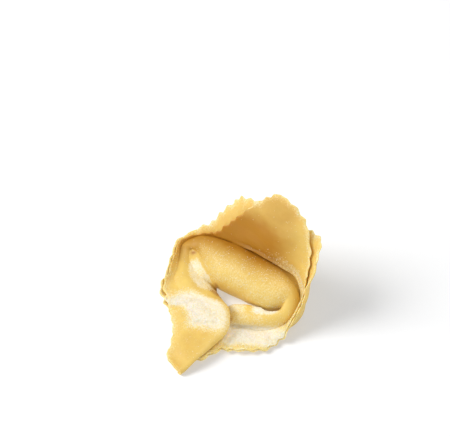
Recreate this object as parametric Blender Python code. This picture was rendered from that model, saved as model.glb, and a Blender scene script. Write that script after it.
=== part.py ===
"""Tortellino: a square of egg dough with a pinked edge, folded corner to corner over its filling
and closed into a ring, with its left wing pressed down on its right wing.

The fold runs round the inside of the ring, under the front of the belly.  The two layers of the
sheet leave the ring outwards as a flange: a steep collar behind the belly and round the right,
and a flat brim at the front.  The corners of the two layers stand apart, so the collar has three
points.  The solid is lofted through sections that stand across the fold, one for each station.
+X is right, -Y is the front, +Z is up, and the part rests on Z = 0.
"""

import math
from collections import namedtuple

import bmesh
import bpy
import numpy as np

MM = 0.001

# The sheet of dough, in mm
DOUGH = 0.8
TOOTH_PITCH = 3.5
TOOTH_DEPTH = 1.1
PINKED_BAND = 1.0
STUCK_SHARE = 0.75
TIP_LENGTH = 1.5
CORNER_EASING = 1.5

# The dab of dough where the left wing is pressed down on the right one, hidden between them:
# its middle and its half-widths, in mm
PRESS_MIDDLE = (-6.6, -10.2, 3.4)
PRESS_REACH = (2.6, 2.2, 1.3)

# The belly, an egg of filling under the dough, in mm
BELLY_MIDDLE = (0.8, 3.0)
BELLY_HEADING = -34.0
BELLY_RADIUS = 6.8
BELLY_HALF_LENGTH = 20.0
BELLY_TAPER = 2.6

# The mesh
COLUMNS_PER_TOOTH = 4
RUN_SAMPLES = 1500
SHORTEST_STEP = 2.0
LOWER_INNER_POINTS = 2
UPPER_POINTS = 6
FACE_STEPS = 3
OUTER_WALL_POINTS = 3

# A section across the fold.  foot: where the fold meets the hole, in plan.  facing: the way
# outwards from the hole, in degrees from +X.  reach and rise: half-width and height of the tube
# above the fold.  fold, under: heights of the fold and of the underside.  crown: 2 for a round
# tube, less for one with a ridge along its top.  seam: where round the tube the flange leaves it,
# in degrees.  lean: slope of the flange at the seam and at the rim.  inner, outer: length of the
# flange in the inner and in the outer layer.  gap: how far the two rims stand apart.
Station = namedtuple("Station", "foot facing reach rise fold under crown seam lean inner outer gap")


def belly_radius(along):
    return BELLY_RADIUS * math.sqrt(1.0 - (abs(along) / BELLY_HALF_LENGTH) ** BELLY_TAPER)


def across_belly(along, facing, seam, lean, inner, outer, gap, slack=0.0, raised=0.0):
    """The station at a distance along the belly from its middle.  slack draws its front side in,
    raised lifts the fold."""
    heading = math.radians(BELLY_HEADING)
    radius = belly_radius(along)
    front = radius - slack
    x = BELLY_MIDDLE[0] + along * math.cos(heading) + front * math.sin(heading)
    y = BELLY_MIDDLE[1] + along * math.sin(heading) - front * math.cos(heading)
    reach = radius - slack / 2
    rise, fold = radius - raised, radius + raised
    return Station((x, y), facing, reach, rise, fold, 0.0, 2.0, seam, lean, inner, outer, gap)


STATIONS = {
    "left tip": Station((-16.5, -27.2), 131, 1.2, 1.0, 1.4, 0.1, 2.0, 90, (0, 0), 4.2, 4.4, 0.25),
    "leaf corner": Station((-15.3, -26.6), 133, 1.2, 1.0, 1.7, 0.6, 2.0, 90, (2, -4), 6.4, 6.6, 0.25),
    "leaf low": Station((-12.4, -24.4), 146, 1.4, 1.1, 3.1, 2.3, 2.0, 90, (5, -20), 7.7, 7.9, 0.25),
    "leaf middle": Station((-7.6, -19.4), 164, 1.8, 1.2, 3.8, 2.8, 2.0, 90, (8, -20), 10.4, 10.6, 0.2),
    "leaf bend": Station((-3.9, -14.2), 172, 2.2, 1.4, 4.4, 3.2, 2.0, 90, (6, -17), 13.5, 13.7, 0.2),
    "leaf high": Station((-3.7, -9.4), 181, 2.8, 1.9, 5.8, 4.5, 1.9, 84, (-2, -14), 13.3, 13.5, 0.3),
    "beside hole": Station((-5.2, -3.0), 196, 6.2, 4.6, 2.8, 1.3, 1.6, 72, (-8, 6), 8.3, 8.5, 0.4),
    "strip low": Station((-8.3, 1.6), 204, 6.8, 3.7, 4.0, 0.3, 1.4, 58, (-6, 26), 4.2, 4.4, 0.5),
    "strip high": Station((-11.9, 6.0), 210, 5.0, 2.8, 5.1, 0.0, 1.5, 48, (-4, 58), 3.2, 3.4, 0.4),
    "left turn": Station((-13.4, 9.0), 214, 3.3, 2.1, 6.2, 0.0, 1.7, 46, (14, 66), 3.0, 3.1, 0.4),
    "left end": Station((-13.6, 10.9), 178, 2.3, 2.2, 7.0, 0.0, 1.9, 52, (72, 82), 1.6, 1.6, 0.4),
    "left back": Station((-12.6, 9.6), 118, 3.0, 2.8, 7.2, 0.0, 2.0, 52, (80, 78), 0.8, 0.9, 0.4),
    "belly 1": across_belly(-12.0, 74, 50, (80, 72), 1.0, 3.2, 0.8, slack=1.6, raised=1.2),
    "belly 2": across_belly(-9.0, 72, 50, (84, 78), 2.4, 7.3, 1.5, slack=0.6),
    "belly 3": across_belly(-4.2, 68, 50, (86, 78), 9.1, 15.0, 1.8),
    "belly 4": across_belly(0.4, 62, 50, (86, 76), 18.0, 16.0, 1.8),
    "belly 5": across_belly(5.8, 57, 50, (86, 75), 24.4, 16.2, 1.8),
    "belly 6": across_belly(8.6, 50, 48, (85, 76), 23.6, 16.6, 1.3, slack=0.3),
    "belly 7": across_belly(11.5, 44, 46, (84, 75), 20.6, 17.4, 0.9, slack=0.8),
    "right back": Station((11.1, -7.9), 34, 3.3, 5.0, 5.0, 0.0, 2.0, 40, (82, 74), 13.6, 19.2, 0.7),
    "right end": Station((10.7, -8.4), 16, 3.0, 4.4, 4.4, 0.0, 2.0, 28, (84, 79), 9.4, 15.0, 0.5),
    "right turn": Station((9.2, -8.9), -18, 2.5, 3.4, 3.4, 0.0, 2.0, 12, (72, 84), 5.3, 5.3, 0.3),
    "right low": Station((7.6, -8.6), -42, 2.4, 3.1, 3.1, 0.0, 2.0, 0, (40, 54), 3.1, 3.2, 0.2),
    "right front": Station((6.2, -7.8), -62, 2.6, 2.8, 2.8, 0.0, 2.0, -10, (14, -4), 3.9, 4.1, 0.2),
    "front right": Station((4.3, -6.45), -82, 2.9, 2.6, 2.6, 0.0, 2.0, -15, (8, -4), 7.1, 7.3, 0.2),
    "front": Station((1.1, -5.15), -93, 3.2, 2.6, 2.6, 0.0, 2.0, -18, (6, -3), 8.5, 8.7, 0.2),
    "front left": Station((-3.6, -5.8), -99, 2.9, 1.8, 1.8, 0.0, 2.0, 2, (2, 1), 7.6, 7.8, 0.2),
    "under leaf": Station((-9.3, -8.8), -98, 2.1, 1.2, 1.2, 0.0, 2.0, 40, (0, 0), 10.2, 10.4, 0.2),
    "right tip": Station((-12.6, -11.4), -97, 1.3, 1.1, 1.1, 0.0, 2.0, 52, (0, 0), 8.8, 9.0, 0.2),
}

Section = namedtuple("Section", "x y facing reach rise fold under crown seam lean0 lean1 inner outer gap span")


def station_row(station):
    span = max(station.inner, station.outer)
    return (*station.foot, *station[1:8], *station.lean, *station[9:], span)


ROWS = np.array([station_row(s) for s in STATIONS.values()], float)


def round_tube(cut, degrees):
    """How far out and how far up a point of the tube lies, as shares of its reach and height."""
    angle = np.radians(degrees)
    power = 2.0 / cut.crown
    out = 1.0 + np.sign(np.cos(angle)) * np.abs(np.cos(angle)) ** power
    up = np.sign(np.sin(angle)) * np.abs(np.sin(angle)) ** power
    return out, up


def seam_point(row):
    """Where the flange leaves the tube, for one row of the table."""
    cut = Section(*row)
    out, up = round_tube(cut, cut.seam)
    facing = math.radians(cut.facing)
    x = cut.x + cut.reach * out * math.cos(facing)
    y = cut.y + cut.reach * out * math.sin(facing)
    return np.array((x, y, cut.fold + cut.rise * up))


def station_places():
    """How far along the sweep each station lies, measured half-way between foot and seam."""
    middles = []
    for row in ROWS:
        foot = np.array((row[0], row[1], row[5]))
        middles.append((foot + seam_point(row)) / 2)
    places = [0.0]
    for before, after in zip(middles, middles[1:]):
        places.append(places[-1] + max(SHORTEST_STEP, float(np.linalg.norm(after - before))))
    return np.array(places)


PLACES = station_places()


def smooth_rows(along):
    """The table read at any places along the sweep, by cubics that pass through its rows."""
    steps = np.diff(PLACES)[:, None]
    slopes = np.diff(ROWS, axis=0) / steps
    share = steps[:-1] / (steps[:-1] + steps[1:])
    tangents = np.vstack((slopes[:1], slopes[:-1] * (1 - share) + slopes[1:] * share, slopes[-1:]))
    at = np.clip(np.searchsorted(PLACES, along, side="right") - 1, 0, len(PLACES) - 2)
    step = steps[at]
    t = (along[:, None] - PLACES[at][:, None]) / step
    blend_a = 2 * t**3 - 3 * t**2 + 1
    blend_b = t**3 - 2 * t**2 + t
    blend_c = 3 * t**2 - 2 * t**3
    blend_d = t**3 - t**2
    rows = blend_a * ROWS[at] + blend_b * step * tangents[at]
    rows += blend_c * ROWS[at + 1] + blend_d * step * tangents[at + 1]
    return rows


def sections(along):
    """Sections at places along the sweep.  The rims run straight from station to station."""
    cut = Section(*smooth_rows(along).T)
    table = Section(*ROWS.T)
    inner = np.interp(along, PLACES, table.inner)
    outer = np.interp(along, PLACES, table.outer)
    gap = np.interp(along, PLACES, table.gap)
    return cut._replace(inner=inner, outer=outer, gap=gap)


def placed(cut, out, up):
    """Points at a distance outwards from the foot and at a height."""
    facing = np.radians(cut.facing)
    return np.stack((cut.x + out * np.cos(facing), cut.y + out * np.sin(facing), up), axis=-1)


def on_tube(cut, degrees):
    """Points round the tube: 180 is the fold, 90 its crest, 270 its underside."""
    out, up = round_tube(cut, degrees)
    height = np.where(up < 0, cut.fold - cut.under, cut.rise)
    return placed(cut, cut.reach * out, cut.fold + height * up)


def on_flange(cut, length, depth):
    """Points at a length from the seam, along an arc whose slope turns evenly, and at a depth
    below the inner face."""
    seam_out, seam_up = round_tube(cut, cut.seam)
    start = np.radians(cut.lean0)
    bend = (np.radians(cut.lean1) - start) / cut.span
    bend = np.where(np.abs(bend) < 1e-6, 1e-6, bend)
    slope = start + bend * length
    out = cut.reach * seam_out + (np.sin(slope) - np.sin(start)) / bend
    up = cut.fold + cut.rise * seam_up + (np.cos(start) - np.cos(slope)) / bend
    return placed(cut, out + depth * np.sin(slope), up - depth * np.cos(slope))


def crotch_length(cut):
    """How far from the seam the two layers stick together."""
    shared = np.minimum(cut.inner, cut.outer)
    return STUCK_SHARE * (shared - np.minimum(2 * PINKED_BAND, 0.5 * shared))


def face_depth(cut, length, face):
    """Depth below the inner layer's front of a face: 0 inner layer's front, 1 its back, 2 outer
    layer's front, 3 its back.  The outer layer stands off towards its rim."""
    if face < 2:
        return face * DOUGH + 0 * length
    start = crotch_length(cut)
    full = np.maximum(cut.inner, cut.outer)
    opening = cut.gap * np.clip((length - start) / (full - start), 0, None) ** 1.2
    return (face - 1) * DOUGH + opening


def rim_depth(cut, which):
    """Depth of the rim's line: the inner layer's front, or the outer layer's back."""
    return face_depth(cut, getattr(cut, which), 0 if which == "inner" else 3)


def rim_runs():
    """Places along the sweep, and how much rim has run by there: the mean of the two rims."""
    along = np.linspace(0.0, PLACES[-1], RUN_SAMPLES)
    cut = sections(along)
    steps = []
    for which in ("inner", "outer"):
        line = on_flange(cut, getattr(cut, which), rim_depth(cut, which))
        steps.append(np.linalg.norm(np.diff(line, axis=0), axis=1))
    crest = on_tube(cut, 90 + 0 * along)
    turn = np.linalg.norm(np.diff(crest, axis=0), axis=1)
    step = np.maximum((steps[0] + steps[1]) / 2, 0.6 * turn)
    return along, np.concatenate(((0.0,), np.cumsum(step)))


ALONG, RIM_RUN = rim_runs()
TEETH = round(RIM_RUN[-1] / TOOTH_PITCH)


def column_places():
    """Places of the mesh's columns: evenly along the rims, a few to each tooth."""
    runs = np.linspace(0.0, RIM_RUN[-1], TEETH * COLUMNS_PER_TOOTH + 1)
    return np.interp(runs, RIM_RUN, ALONG)


def rim_frame(which):
    """How far place and length change for each mm square to a layer's rim, along its surface, at
    each of the sweep's sampled places, eased round the corners."""
    along = ALONG
    cut = sections(along)
    rim = getattr(cut, which)
    depth = rim_depth(cut, which)
    line = on_flange(cut, rim, depth)
    small = 0.05
    ahead = on_flange(sections(np.clip(along + small, 0, PLACES[-1])), rim, depth)
    across = (ahead - line) / small
    out = (on_flange(cut, rim + small, depth) - line) / small
    tangent = np.gradient(line, along, axis=0)
    tangent /= np.linalg.norm(tangent, axis=1)[:, None]
    square = out - tangent * np.sum(out * tangent, axis=1)[:, None]
    square /= np.linalg.norm(square, axis=1)[:, None]
    aa = np.sum(across * across, axis=1) + 1e-9
    ab = np.sum(across * out, axis=1)
    bb = np.sum(out * out, axis=1)
    want_a = np.sum(square * across, axis=1)
    want_b = np.sum(square * out, axis=1)
    spread = aa * bb - ab**2
    change = np.clip((want_a * bb - want_b * ab) / spread, -0.6, 0.6)
    gain = (want_b * aa - want_a * ab) / spread
    window = round(CORNER_EASING / (ALONG[1] - ALONG[0]))
    return eased(change, window), eased(gain, window)


def eased(values, window):
    """The values averaged over a few neighbours each way."""
    padded = np.pad(values, window, mode="edge")
    weights = np.hanning(2 * window + 1)
    return np.convolve(padded, weights / weights.sum(), mode="valid")


FRAMES = {which: rim_frame(which) for which in ("inner", "outer")}


def beside_rim(along, which, distance):
    """Place and length of points at a distance outside a layer's rim, or inside it if below 0."""
    change, gain = [np.interp(along, ALONG, values) for values in FRAMES[which]]
    to_tip = np.minimum(along, PLACES[-1] - along)
    change = change * np.clip(to_tip / TIP_LENGTH, 0, 1)
    return along + distance * change, getattr(sections(along), which) + distance * gain


def teeth(along, which):
    """The pinked edge's distance outside the rim: even teeth, none of them longer than the
    flange can carry."""
    phase = np.interp(along, ALONG, RIM_RUN) / RIM_RUN[-1] * TEETH
    wave = np.abs(2 * np.mod(phase, 1.0) - 1) - 0.5
    return wave * np.minimum(TOOTH_DEPTH, 0.35 * getattr(sections(along), which))


def face_rows(along, face):
    """Rows of one face of a layer, from where it leaves the other layer, or from the seam for an
    outside face, to just inside the teeth, and then the pinked edge itself."""
    cut = sections(along)
    which = "inner" if face < 2 else "outer"
    rim = getattr(cut, which)
    start = crotch_length(cut) if face in (1, 2) else 0 * rim
    place, length = beside_rim(along, which, -np.minimum(PINKED_BAND, 0.5 * rim))
    rows = []
    for part in np.linspace(0, 1, FACE_STEPS):
        at = sections(along + (place - along) * part)
        there = start + (length - start) * part
        rows.append(on_flange(at, there, face_depth(at, there, face)))
    place, length = beside_rim(along, which, teeth(along, which))
    at = sections(place)
    rows.append(on_flange(at, length, face_depth(at, length, face)))
    return rows


def loft_points():
    """Rows of points that run the whole sweep, in order round the section."""
    along = column_places()
    cut = sections(along)
    rows = []
    for degrees in np.linspace(270, 180, LOWER_INNER_POINTS + 2)[:-1]:
        rows.append(on_tube(cut, degrees + 0 * along))
    for part in np.linspace(0, 1, UPPER_POINTS + 1)[:-1]:
        rows.append(on_tube(cut, 180 + (cut.seam - 180) * part))
    rows += face_rows(along, 0)
    rows += face_rows(along, 1)[::-1]
    rows += face_rows(along, 2)[1:]
    rows += face_rows(along, 3)[::-1]
    rows += outer_wall(cut, rows[-1], rows[0])
    return [np.maximum(row, (-np.inf, -np.inf, 0.0)) for row in rows]


def outer_wall(cut, top, bottom):
    """The outer layer from the flange down round the back of the tube to the underside."""
    lean = np.radians(cut.lean0)
    facing = np.radians(cut.facing)
    drop = 0.55 * (top[:, 2] - bottom[:, 2])
    down = np.stack((np.cos(facing) * np.cos(lean), np.sin(facing) * np.cos(lean), np.sin(lean)), -1)
    first = top - down * drop[:, None]
    outwards = np.stack((np.cos(facing), np.sin(facing), 0 * facing), axis=-1)
    second = bottom + outwards * (0.9 * cut.reach)[:, None]
    rows = []
    for t in np.linspace(0, 1, OUTER_WALL_POINTS + 2)[1:-1]:
        upper = (1 - t) ** 3 * top + 3 * (1 - t) ** 2 * t * first
        lower = 3 * (1 - t) * t**2 * second + t**3 * bottom
        rows.append(upper + lower)
    return rows


def between(left, right):
    """Triangles that fill the space between two chains of numbered rows."""
    triangles = []
    i, j = 0, 0
    while i < len(left) - 1 or j < len(right) - 1:
        if i / (len(left) - 1) <= j / (len(right) - 1):
            triangles.append((left[i], left[i + 1], right[j]))
            i += 1
        else:
            triangles.append((left[i], right[j + 1], right[j]))
            j += 1
    return [corners for corners in triangles if len(set(corners)) == 3]


def tip_faces(count):
    """The cut across the sheet at a wing's tip: the tube, and each layer out to its rim."""
    seam = LOWER_INNER_POINTS + 1 + UPPER_POINTS
    crotch = seam + 2 * FACE_STEPS + 1
    back = crotch + 2 * FACE_STEPS + 1
    wall = list(range(count - 1, back - 1, -1))
    faces = between(list(range(seam + 1)), [0, *wall, seam])
    faces.append((back, seam, crotch))
    for front, behind in ((seam, crotch), (crotch, back)):
        outwards = [front + k for k in range(FACE_STEPS + 1)]
        inwards = [behind - k for k in range(FACE_STEPS + 1)]
        faces += between(outwards, inwards)
    return faces


def folded_sheet():
    """The tortellino's mesh: the loft's rows, closed round the section and capped at both tips."""
    rows = loft_points()
    mesh = bmesh.new()
    grid = [[mesh.verts.new(point * MM) for point in row] for row in rows]
    count = len(grid)
    columns = len(grid[0])
    for r in range(count):
        below, above = grid[r], grid[(r + 1) % count]
        for c in range(columns - 1):
            mesh.faces.new((below[c], below[c + 1], above[c + 1]))
            mesh.faces.new((below[c], above[c + 1], above[c]))
    for c, order in ((0, 1), (columns - 1, -1)):
        for corners in tip_faces(count):
            mesh.faces.new([grid[r][c] for r in corners][::order])
    return mesh


def press_dab():
    """The flattened ball of dough that holds the two wings together."""
    mesh = bmesh.new()
    bmesh.ops.create_icosphere(mesh, subdivisions=2, radius=MM)
    bmesh.ops.scale(mesh, verts=mesh.verts, vec=PRESS_REACH)
    bmesh.ops.translate(mesh, verts=mesh.verts, vec=[value * MM for value in PRESS_MIDDLE])
    return mesh


def as_object(name, mesh):
    data = bpy.data.meshes.new(name)
    mesh.to_mesh(data)
    mesh.free()
    thing = bpy.data.objects.new(name, data)
    bpy.context.scene.collection.objects.link(thing)
    return thing


def joined(thing, dab):
    """The thing with the dab united to it."""
    union = thing.modifiers.new("press", "BOOLEAN")
    union.operation = "UNION"
    union.solver = "EXACT"
    union.object = dab
    bpy.context.view_layer.update()
    seen = thing.evaluated_get(bpy.context.evaluated_depsgraph_get())
    data = bpy.data.meshes.new_from_object(seen)
    thing.modifiers.clear()
    thing.data = data
    bpy.data.objects.remove(dab, do_unlink=True)


def stand_on_origin(data):
    """The middle of the outline's box goes to the origin, with the underside on Z = 0."""
    points = np.empty(len(data.vertices) * 3)
    data.vertices.foreach_get("co", points)
    points = points.reshape(-1, 3)
    low, high = points.min(axis=0), points.max(axis=0)
    points -= ((low[0] + high[0]) / 2, (low[1] + high[1]) / 2, low[2])
    data.vertices.foreach_set("co", points.ravel())


def dough_material():
    material = bpy.data.materials.new("egg dough")
    material.use_nodes = True
    shader = material.node_tree.nodes["Principled BSDF"]
    shader.inputs["Base Color"].default_value = (0.82, 0.57, 0.18, 1.0)
    shader.inputs["Roughness"].default_value = 0.62
    shader.inputs["Metallic"].default_value = 0.0
    return material


def main():
    for thing in list(bpy.data.objects):
        bpy.data.objects.remove(thing, do_unlink=True)
    tortellino = as_object("tortellino", folded_sheet())
    joined(tortellino, as_object("press", press_dab()))
    tortellino.data.name = "tortellino"
    stand_on_origin(tortellino.data)
    tortellino.data.shade_smooth()
    tortellino.data.set_sharp_from_angle(angle=math.radians(40))
    tortellino.data.materials.clear()
    tortellino.data.materials.append(dough_material())


main()
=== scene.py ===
"""Tortellino of fresh egg dough, dusted with flour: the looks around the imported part.

A square of rolled dough with a pinked edge is folded corner to corner over its filling and closed
into a ring.  The fold runs round the inside of the ring; both layers of the sheet leave it outwards
as a flange.  The surface is lofted through sections that stand across the fold, then given the
marks of fingers, the softness of dough and its dusting of flour.
"""

import math
from collections import namedtuple

import bmesh
import bpy
import numpy as np
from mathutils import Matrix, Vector


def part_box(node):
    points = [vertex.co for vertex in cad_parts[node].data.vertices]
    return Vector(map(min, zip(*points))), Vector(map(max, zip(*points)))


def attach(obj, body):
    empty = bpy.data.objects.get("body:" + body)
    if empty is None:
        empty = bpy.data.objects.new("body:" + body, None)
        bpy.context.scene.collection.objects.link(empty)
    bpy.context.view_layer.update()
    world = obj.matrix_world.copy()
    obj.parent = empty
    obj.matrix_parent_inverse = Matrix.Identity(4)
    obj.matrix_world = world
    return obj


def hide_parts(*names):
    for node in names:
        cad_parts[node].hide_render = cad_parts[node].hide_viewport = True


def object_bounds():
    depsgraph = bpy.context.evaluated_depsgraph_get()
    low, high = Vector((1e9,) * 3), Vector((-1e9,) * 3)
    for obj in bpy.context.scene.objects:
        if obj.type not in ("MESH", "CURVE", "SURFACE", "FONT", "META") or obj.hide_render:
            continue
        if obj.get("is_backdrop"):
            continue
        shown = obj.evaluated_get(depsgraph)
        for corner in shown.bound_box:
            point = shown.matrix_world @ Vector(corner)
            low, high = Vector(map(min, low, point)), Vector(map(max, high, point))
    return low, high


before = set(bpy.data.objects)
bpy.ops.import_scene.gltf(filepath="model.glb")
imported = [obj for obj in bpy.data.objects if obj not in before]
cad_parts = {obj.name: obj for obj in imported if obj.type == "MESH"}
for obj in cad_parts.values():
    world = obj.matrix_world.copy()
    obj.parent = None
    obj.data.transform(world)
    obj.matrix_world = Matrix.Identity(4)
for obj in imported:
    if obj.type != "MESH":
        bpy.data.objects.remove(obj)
cad_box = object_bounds()

MM = 0.001

# The sheet of dough, in mm: its thickness, the teeth that the fluted wheel cut, the band they take
# up, and how far in from a wing's tip and round a corner the edge is eased
DOUGH = 0.8
TOOTH_PITCH = 3.5
TOOTH_DEPTH = 1.1
PINKED_BAND = 1.0
TIP_LENGTH = 1.5
CORNER_EASING = 1.5
# The rounding at a tooth's edge in mm, and how much of the thickness is left at its nose
EDGE_ROUNDING = 0.2
NOSE_THICKNESS = 0.5
# How far in from the rim the wheel pressed a layer thinner, in mm, and what share of it is left
RIM_TAPER = 2.6
RIM_THICKNESS = 0.6
# The share of the flange inside its teeth where the two layers stick together
STUCK_SHARE = 0.75
# The tooth's depth varies along the edge, and it is never more than a share of the flange
TOOTH_EVENNESS = 0.9
LONGEST_TOOTH_SHARE = 0.35
# Rims less than the first of these apart, in mm, are pressed together; past the second they are free
PRESSED_GAP = (0.25, 0.6)
# How much of its gap pressing closes, and how late the layers part: 1 for straight from the start
PRESSED_SHUT = 0.8
PARTING_POWER = 1.2
# The outer wall: how steeply it drops from the flange, as a share of its height, and how far it
# bulges at the underside, as a share of the tube's reach
WALL_DROP = 0.55
WALL_BULGE = 0.9

# The belly, an egg of filling under the dough, in mm
BELLY_MIDDLE = (0.8, 3.0)
BELLY_HEADING = -34.0
BELLY_RADIUS = 6.8
BELLY_HALF_LENGTH = 20.0
BELLY_TAPER = 2.6

# The mesh: columns run across the fold and rows along it.  Points are counted round a section: up
# the tube's inner side, over the tube, along each face of each layer, over the teeth and down the
# outer wall.  A face's rows crowd towards the seam.  The rows at its two edges, where the normal
# turns the corner, move as the row just inside them does.
COLUMNS_PER_TOOTH = 12
RUN_SAMPLES = 1500
SHORTEST_STEP = 2.0
LEAST_RIM_SHARE = 0.6
LOWER_INNER_POINTS = 7
UPPER_POINTS = 26
FACE_STEPS = 26
FACE_CROWDING = 1.7
BAND_STEPS = 3
OUTER_WALL_POINTS = 12
ROWS_AT_AN_EDGE = 5
WEB_COLUMNS = 60
WEB_ROWS = 14
# Edges that turn more than this stay sharp in the shading
SHARP_EDGE_DEGREES = 50

# A section across the fold.  foot: where the fold meets the hole, in plan.  facing: the way
# outwards from the hole, in degrees from +X.  reach and rise: half-width and height of the tube
# above the fold.  fold, under: heights of the fold and of the underside.  crown: 2 for a round
# tube, less for one with a ridge along its top.  seam: where round the tube the flange leaves it,
# in degrees.  lean: slope of the flange at the seam and at the rim.  inner, outer: length of the
# flange in the inner and in the outer layer.  gap: how far the two rims stand apart.
Station = namedtuple("Station", "foot facing reach rise fold under crown seam lean inner outer gap")


def belly_radius(along):
    return BELLY_RADIUS * math.sqrt(1.0 - (abs(along) / BELLY_HALF_LENGTH) ** BELLY_TAPER)


def across_belly(along, facing, seam, lean, inner, outer, gap, slack=0.0, raised=0.0):
    """The station at a distance along the belly from its middle.  slack draws its front side in,
    raised lifts the fold."""
    heading = math.radians(BELLY_HEADING)
    radius = belly_radius(along)
    front = radius - slack
    x = BELLY_MIDDLE[0] + along * math.cos(heading) + front * math.sin(heading)
    y = BELLY_MIDDLE[1] + along * math.sin(heading) - front * math.cos(heading)
    reach = radius - slack / 2
    rise, fold = radius - raised, radius + raised
    return Station((x, y), facing, reach, rise, fold, 0.0, 2.0, seam, lean, inner, outer, gap)


STATIONS = {
    "left tip": Station((-16.5, -27.2), 131, 1.2, 1.0, 1.4, 0.1, 2.0, 90, (0, 0), 4.2, 4.4, 0.25),
    "leaf corner": Station((-15.3, -26.6), 133, 1.2, 1.0, 1.7, 0.6, 2.0, 90, (2, -4), 6.4, 6.6, 0.25),
    "leaf low": Station((-12.4, -24.4), 146, 1.4, 1.1, 3.1, 2.3, 2.0, 90, (5, -20), 7.7, 7.9, 0.25),
    "leaf middle": Station((-7.6, -19.4), 164, 1.8, 1.2, 3.8, 2.8, 2.0, 90, (8, -20), 10.4, 10.6, 0.2),
    "leaf bend": Station((-3.9, -14.2), 172, 2.2, 1.4, 4.4, 3.2, 2.0, 90, (6, -17), 13.5, 13.7, 0.2),
    "leaf high": Station((-3.7, -9.4), 181, 2.8, 1.9, 5.8, 4.5, 1.9, 84, (-2, -14), 13.3, 13.5, 0.3),
    "beside hole": Station((-5.2, -3.0), 196, 6.2, 4.6, 2.8, 1.3, 1.6, 72, (-8, 6), 8.3, 8.5, 0.4),
    "strip low": Station((-8.3, 1.6), 204, 6.8, 3.7, 4.0, 0.3, 1.4, 58, (-6, 26), 4.2, 4.4, 0.5),
    "strip high": Station((-11.9, 6.0), 210, 5.0, 2.8, 5.1, 0.0, 1.5, 48, (-4, 58), 3.2, 3.4, 0.4),
    "left turn": Station((-13.4, 9.0), 214, 3.3, 2.1, 6.2, 0.0, 1.7, 46, (14, 66), 3.0, 3.1, 0.4),
    "left end": Station((-13.6, 10.9), 178, 2.3, 2.2, 7.0, 0.0, 1.9, 52, (72, 82), 1.6, 1.6, 0.4),
    "left back": Station((-12.6, 9.6), 118, 3.0, 2.8, 7.2, 0.0, 2.0, 52, (80, 78), 0.8, 0.9, 0.4),
    "belly 1": across_belly(-12.0, 74, 50, (80, 72), 1.0, 3.2, 0.8, slack=1.6, raised=1.2),
    "belly 2": across_belly(-9.0, 72, 50, (84, 78), 2.4, 7.3, 1.5, slack=0.6),
    "belly 3": across_belly(-4.2, 68, 50, (86, 78), 9.1, 15.0, 1.8),
    "belly 4": across_belly(0.4, 62, 50, (86, 76), 18.0, 16.0, 1.8),
    "belly 5": across_belly(5.8, 57, 50, (86, 75), 24.4, 16.2, 1.8),
    "belly 6": across_belly(8.6, 50, 48, (85, 76), 23.6, 16.6, 1.3, slack=0.3),
    "belly 7": across_belly(11.5, 44, 46, (84, 75), 20.6, 17.4, 0.9, slack=0.8),
    "right back": Station((11.1, -7.9), 34, 3.3, 5.0, 5.0, 0.0, 2.0, 40, (82, 74), 13.6, 19.2, 0.7),
    "right end": Station((10.7, -8.4), 16, 3.0, 4.4, 4.4, 0.0, 2.0, 28, (84, 79), 9.4, 15.0, 0.5),
    "right turn": Station((9.2, -8.9), -18, 2.5, 3.4, 3.4, 0.0, 2.0, 12, (72, 84), 5.3, 5.3, 0.3),
    "right low": Station((7.6, -8.6), -42, 2.4, 3.1, 3.1, 0.0, 2.0, 0, (40, 54), 3.1, 3.2, 0.2),
    "right front": Station((6.2, -7.8), -62, 2.6, 2.8, 2.8, 0.0, 2.0, -10, (14, -4), 3.9, 4.1, 0.2),
    "front right": Station((4.3, -6.45), -82, 2.9, 2.6, 2.6, 0.0, 2.0, -15, (8, -4), 7.1, 7.3, 0.2),
    "front": Station((1.1, -5.15), -93, 3.2, 2.6, 2.6, 0.0, 2.0, -18, (6, -3), 8.5, 8.7, 0.2),
    "front left": Station((-3.6, -5.8), -99, 2.9, 1.8, 1.8, 0.0, 2.0, 2, (2, 1), 7.6, 7.8, 0.2),
    "under leaf": Station((-9.3, -8.8), -98, 2.1, 1.2, 1.2, 0.0, 2.0, 40, (0, 0), 10.2, 10.4, 0.2),
    "right tip": Station((-12.6, -11.4), -97, 1.3, 1.1, 1.1, 0.0, 2.0, 52, (0, 0), 8.8, 9.0, 0.2),
}
NAMES = list(STATIONS)

# A station with its foot and lean taken apart, and span, the longer of its two flanges
Section = namedtuple(
    "Section", "x y facing reach rise fold under crown seam lean0 lean1 inner outer gap span"
)


def station_row(station):
    span = max(station.inner, station.outer)
    return (*station.foot, *station[1:8], *station.lean, *station[9:], span)


ROWS = np.array([station_row(s) for s in STATIONS.values()], float)


def step_up(values, low, high):
    """0 below low, 1 above high, and a smooth rise between."""
    t = np.clip((values - low) / (high - low), 0.0, 1.0)
    return t * t * (3.0 - 2.0 * t)


def round_tube(cut, degrees):
    """How far out and how far up a point of the tube lies, as shares of its reach and height."""
    angle = np.radians(degrees)
    power = 2.0 / cut.crown
    out = 1.0 + np.sign(np.cos(angle)) * np.abs(np.cos(angle)) ** power
    up = np.sign(np.sin(angle)) * np.abs(np.sin(angle)) ** power
    return out, up


def seam_point(row):
    """Where the flange leaves the tube, for one row of the table."""
    cut = Section(*row)
    out, up = round_tube(cut, cut.seam)
    facing = math.radians(cut.facing)
    x = cut.x + cut.reach * out * math.cos(facing)
    y = cut.y + cut.reach * out * math.sin(facing)
    return np.array((x, y, cut.fold + cut.rise * up))


def station_places():
    """How far along the sweep each station lies, measured half-way between foot and seam."""
    middles = []
    for row in ROWS:
        foot = np.array((row[0], row[1], row[5]))
        middles.append((foot + seam_point(row)) / 2)
    places = [0.0]
    for before, after in zip(middles, middles[1:]):
        places.append(places[-1] + max(SHORTEST_STEP, float(np.linalg.norm(after - before))))
    return np.array(places)


PLACES = station_places()


def place(name, offset=0.0):
    """A station's place along the sweep, and so many mm past it."""
    return PLACES[NAMES.index(name)] + offset


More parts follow.
